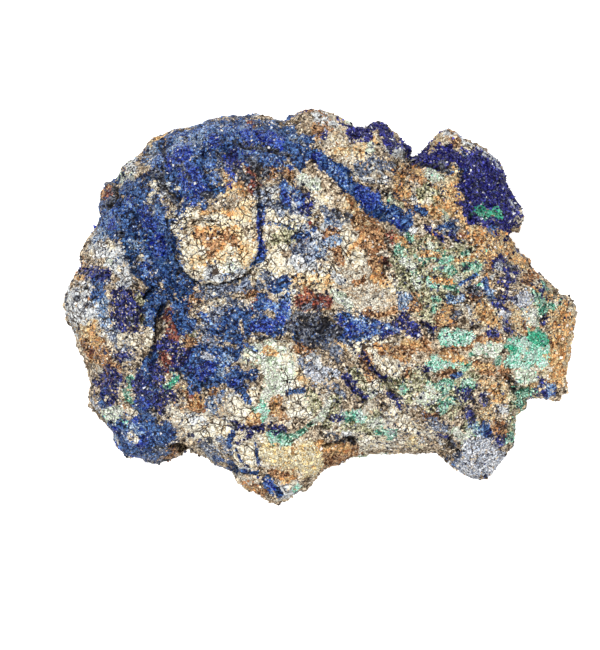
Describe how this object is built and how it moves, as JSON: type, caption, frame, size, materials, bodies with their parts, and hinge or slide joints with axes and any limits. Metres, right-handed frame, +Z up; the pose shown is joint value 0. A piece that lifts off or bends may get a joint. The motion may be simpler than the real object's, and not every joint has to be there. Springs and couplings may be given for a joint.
{
  "type": "azurite specimen",
  "caption": "Lump of iron-stained rock with cream nodules, crusted with blue azurite and green malachite, lying on its broad side.",
  "frame": {"origin": "on the surface the rock rests on, under the middle of its box", "axes": "+X along the length, +Y towards the back edge, +Z up out of the face that shows the minerals"},
  "size_m": [0.0894, 0.069, 0.0387],
  "materials": {
    "rock": "rough iron-stained rock, granular, with dull cracks",
    "azurite": "blue azurite crust and glinting dark blue crystals",
    "malachite": "green malachite, powdery to velvety",
    "nodule": "pale cracked nodules, matt and chalky"
  },
  "bodies": {
    "root": {"azurite_rock": "rock"}
  },
  "joints": []
}
